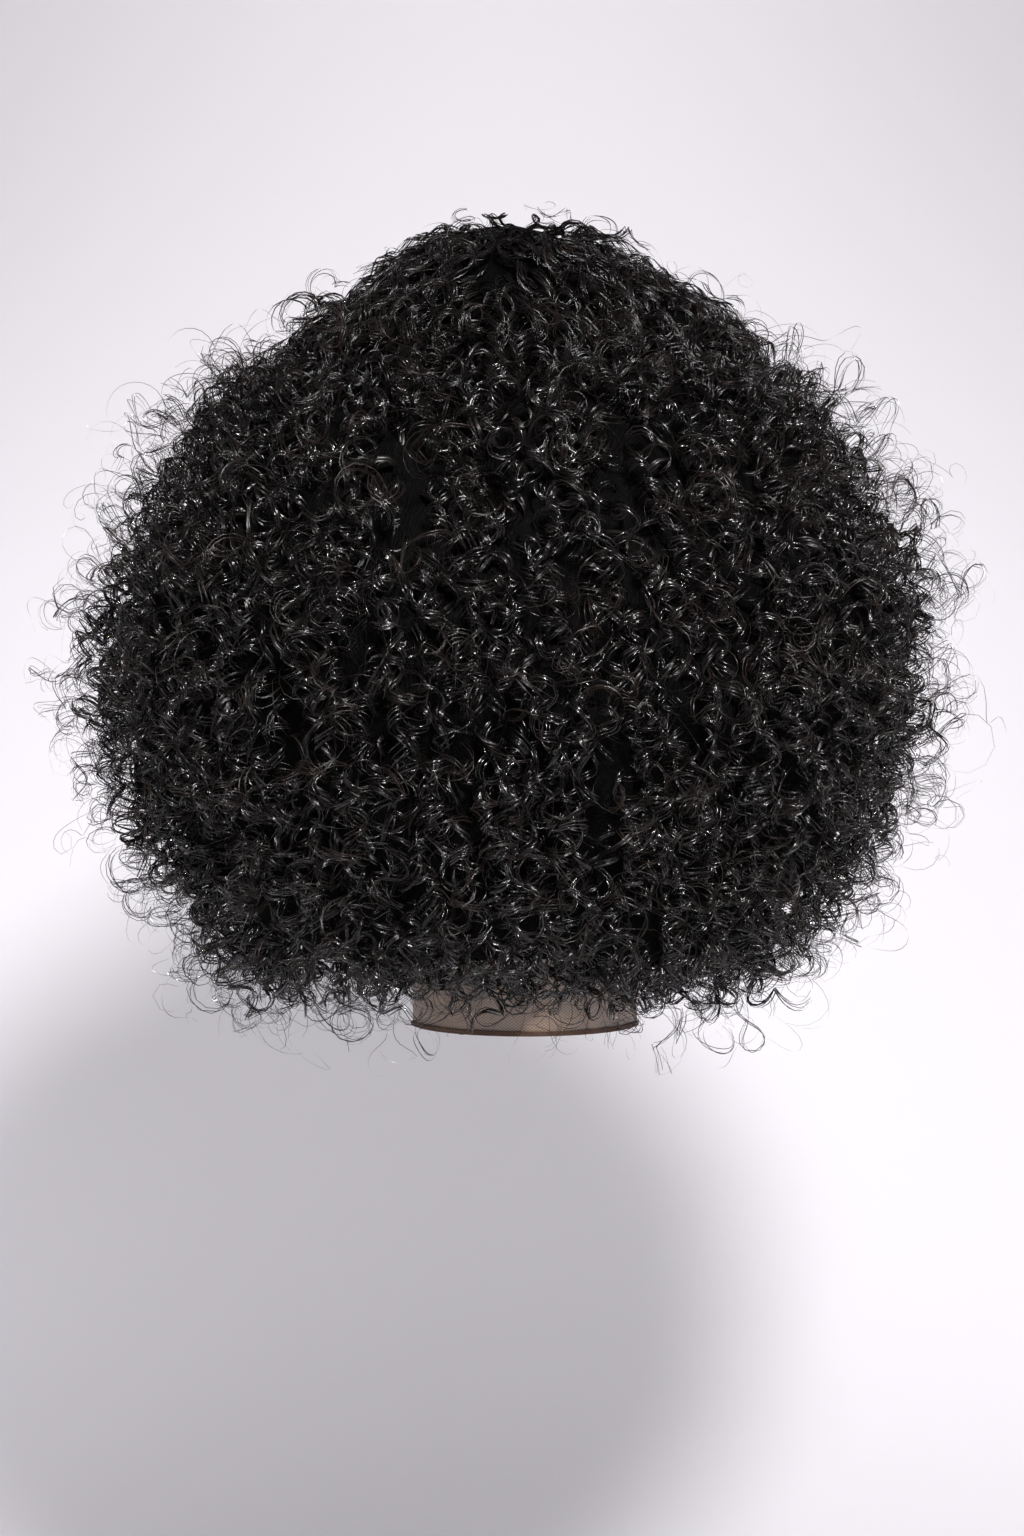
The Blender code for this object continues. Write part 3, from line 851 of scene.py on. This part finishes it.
class WIG_OT_laces(bpy.types.Operator):
    """Lay the sheer nets over the nape and the front hairline"""

    bl_idname = "wig.laces"
    bl_label = "Lace Panels"

    def execute(self, context):
        nape = panel_grid(CAP_EDGE, NAPE_END, -NAPE_HALF_ANGLE, NAPE_HALF_ANGLE, 61, 17)
        front = panel_grid(CAP_EDGE, LACE_END, LACE_START, 2 * math.pi - LACE_START, 81, 21)
        self.lay("nape_net", nape, "nape_lace", "nape_net", 0.0020, 0.00040, 0.86)
        self.lay("front_net", front, "lace_front", "front_lace", 0.0015, 0.00030, 0.35)
        return {"FINISHED"}

    def lay(self, name, points, node, slot, cell, thread, ground):
        item, wide, tall = lace_sheet(name, points)
        item.data.materials.append(net_material(name, wide, tall, cell, thread, ground))
        hand_over(item, slot, node)


class WIG_OT_cap(bpy.types.Operator):
    """Give the cap and the hem at the nape their finishes"""

    bl_idname = "wig.cap"
    bl_label = "Cap and Hem"

    def execute(self, context):
        for node, material in (("cap", cap_material()), ("nape_hem", hem_material())):
            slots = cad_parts[node].material_slots
            for slot in slots:
                slot.material = material
        return {"FINISHED"}


class WIG_OT_stage(bpy.types.Operator):
    """Set up the pale sweep, the soft lights and the camera"""

    bl_idname = "wig.stage"
    bl_label = "Studio"

    def execute(self, context):
        colors = context.scene.wig_colors
        recipe = Recipe("studio_paper", Roughness=0.9, Specular_IOR_Level=0.1)
        grain = recipe.noise(recipe.object_place(), 3.0)
        shade = tuple(c * 0.93 for c in colors.floor)
        paper = recipe.finish(recipe.mix(grain * 0.04, tuple(colors.floor), shade))
        deselect_all()
        bpy.ops.mesh.primitive_plane_add(size=1, location=(0, 0, 0))
        sweep = context.active_object
        sweep.name = sweep.data.name = "studio_sweep"
        profile = [(-3.0, -1.0), (0.9, -1.0)]
        profile += [
            (0.9 + 1.1 * math.sin(turn), -1.0 + 1.1 * (1 - math.cos(turn)))
            for turn in np.linspace(0.1, math.pi / 2, 14)
        ]
        profile += [(2.0, 3.0)]
        points = [(x, y, z) for x in (-4.0, 4.0) for y, z in profile]
        size = len(profile)
        faces = [(i, size + i, size + i + 1, i + 1) for i in range(size - 1)]
        sweep.data.clear_geometry()
        sweep.data.from_pydata(points, [], faces)
        sweep.data.materials.append(paper)
        make_active(sweep)
        bpy.ops.object.shade_smooth()
        white, warm = (1.0, 0.99, 1.0), (1.0, 0.985, 0.98)
        key = self.add_light("key_light", (0.154, -1.02, 0.385), 0.16, 19.5, warm, (0, 0, -0.04))
        self.soften_falloff(key)
        self.add_light("left_wall_light", (-2.3, 0.4, -0.45), 0.5, 6.1, white, (0.3, 1.9, -0.95), 84)
        self.add_light("right_wall_light", (2.3, 0.4, -0.45), 0.5, 4.9, white, (-0.3, 1.9, -0.95), 84)
        self.add_light("top_wall_light", (0.0, 1.0, 1.9), 0.8, 2.4, white, (0.0, 2.0, 0.7), 110)
        self.add_light("face_light", (0.0, 1.6, 0.1), 0.4, 1.8, (1.0, 0.99, 0.98), (0, 0, -0.08), 30)
        world = bpy.data.worlds.new("studio_air")
        world.use_nodes = True
        self.fill_air(world.node_tree)
        context.scene.world = world
        context.scene.view_settings.view_transform = "Standard"
        camera_data = bpy.data.cameras.new("camera")
        camera_data.lens = 50
        camera_data.sensor_width = 36
        camera = bpy.data.objects.new("camera", camera_data)
        camera.location = (-0.0064, -1.09, -0.114)
        camera.rotation_euler = (math.pi / 2, 0, 0)
        context.scene.collection.objects.link(camera)
        context.scene.camera = camera
        return {"FINISHED"}

    def add_light(self, name, place, size, power, color, aim, spread=180):
        data = bpy.data.lights.new(name, "AREA")
        data.shape = "DISK"
        data.size = size
        data.energy = power
        data.color = color
        data.spread = math.radians(spread)
        light = bpy.data.objects.new(name, data)
        light.location = place
        light.visible_camera = False
        light.rotation_euler = (Vector(aim) - Vector(place)).to_track_quat("-Z", "Y").to_euler()
        bpy.context.scene.collection.objects.link(light)
        return light

    def fill_air(self, tree):
        """A faint light from all round, and a pale room behind the floor when the wig is turned."""
        air = tree.nodes["Background"]
        air.inputs["Color"].default_value = (0.90, 0.89, 0.93, 1)
        air.inputs["Strength"].default_value = 0.08
        room = tree.nodes.new("ShaderNodeBackground")
        room.inputs["Color"].default_value = (0.72, 0.71, 0.75, 1)
        mix = tree.nodes.new("ShaderNodeMixShader")
        tree.links.new(tree.nodes.new("ShaderNodeLightPath").outputs["Is Camera Ray"], mix.inputs[0])
        tree.links.new(air.outputs[0], mix.inputs[1])
        tree.links.new(room.outputs[0], mix.inputs[2])
        tree.links.new(mix.outputs[0], tree.nodes["World Output"].inputs["Surface"])

    def soften_falloff(self, light):
        """Lets a near light fade only in step with distance, so that wig and backdrop are lit alike."""
        light.data.use_nodes = True
        tree = light.data.node_tree
        falloff = tree.nodes.new("ShaderNodeLightFalloff")
        falloff.inputs["Strength"].default_value = 1.0
        tree.links.new(falloff.outputs["Linear"], tree.nodes["Emission"].inputs["Strength"])


class WIG_PT_panel(bpy.types.Panel):
    """Lists the wig's sizes and colours, and a button for each step"""

    bl_idname = "WIG_PT_panel"
    bl_label = "Curly Wig"
    bl_space_type = "VIEW_3D"
    bl_region_type = "UI"
    bl_category = "Wig"

    def draw(self, context):
        for group in (context.scene.hair_sizes, context.scene.wig_colors):
            box = self.layout.box()
            for size in group.bl_rna.properties.keys():
                if size not in ("rna_type", "name"):
                    box.prop(group, size)
        for operator in OPERATORS:
            self.layout.operator(operator.bl_idname)


GROUPS = (HairSizes, WigColors)
OPERATORS = (WIG_OT_stage, WIG_OT_hair_core, WIG_OT_curls, WIG_OT_fringe, WIG_OT_laces, WIG_OT_cap)
CLASSES = (*GROUPS, *OPERATORS, WIG_PT_panel)


def register():
    for item in CLASSES:
        bpy.utils.register_class(item)
    bpy.types.Scene.hair_sizes = PointerProperty(type=HairSizes)
    bpy.types.Scene.wig_colors = PointerProperty(type=WigColors)


def unregister():
    del bpy.types.Scene.hair_sizes
    del bpy.types.Scene.wig_colors
    for item in reversed(CLASSES):
        bpy.utils.unregister_class(item)


def main():
    register()
    bpy.ops.wig.stage()
    bpy.ops.wig.hair_core()
    bpy.ops.wig.curls()
    bpy.ops.wig.fringe()
    bpy.ops.wig.laces()
    bpy.ops.wig.cap()


if __name__ == "__main__":
    main()
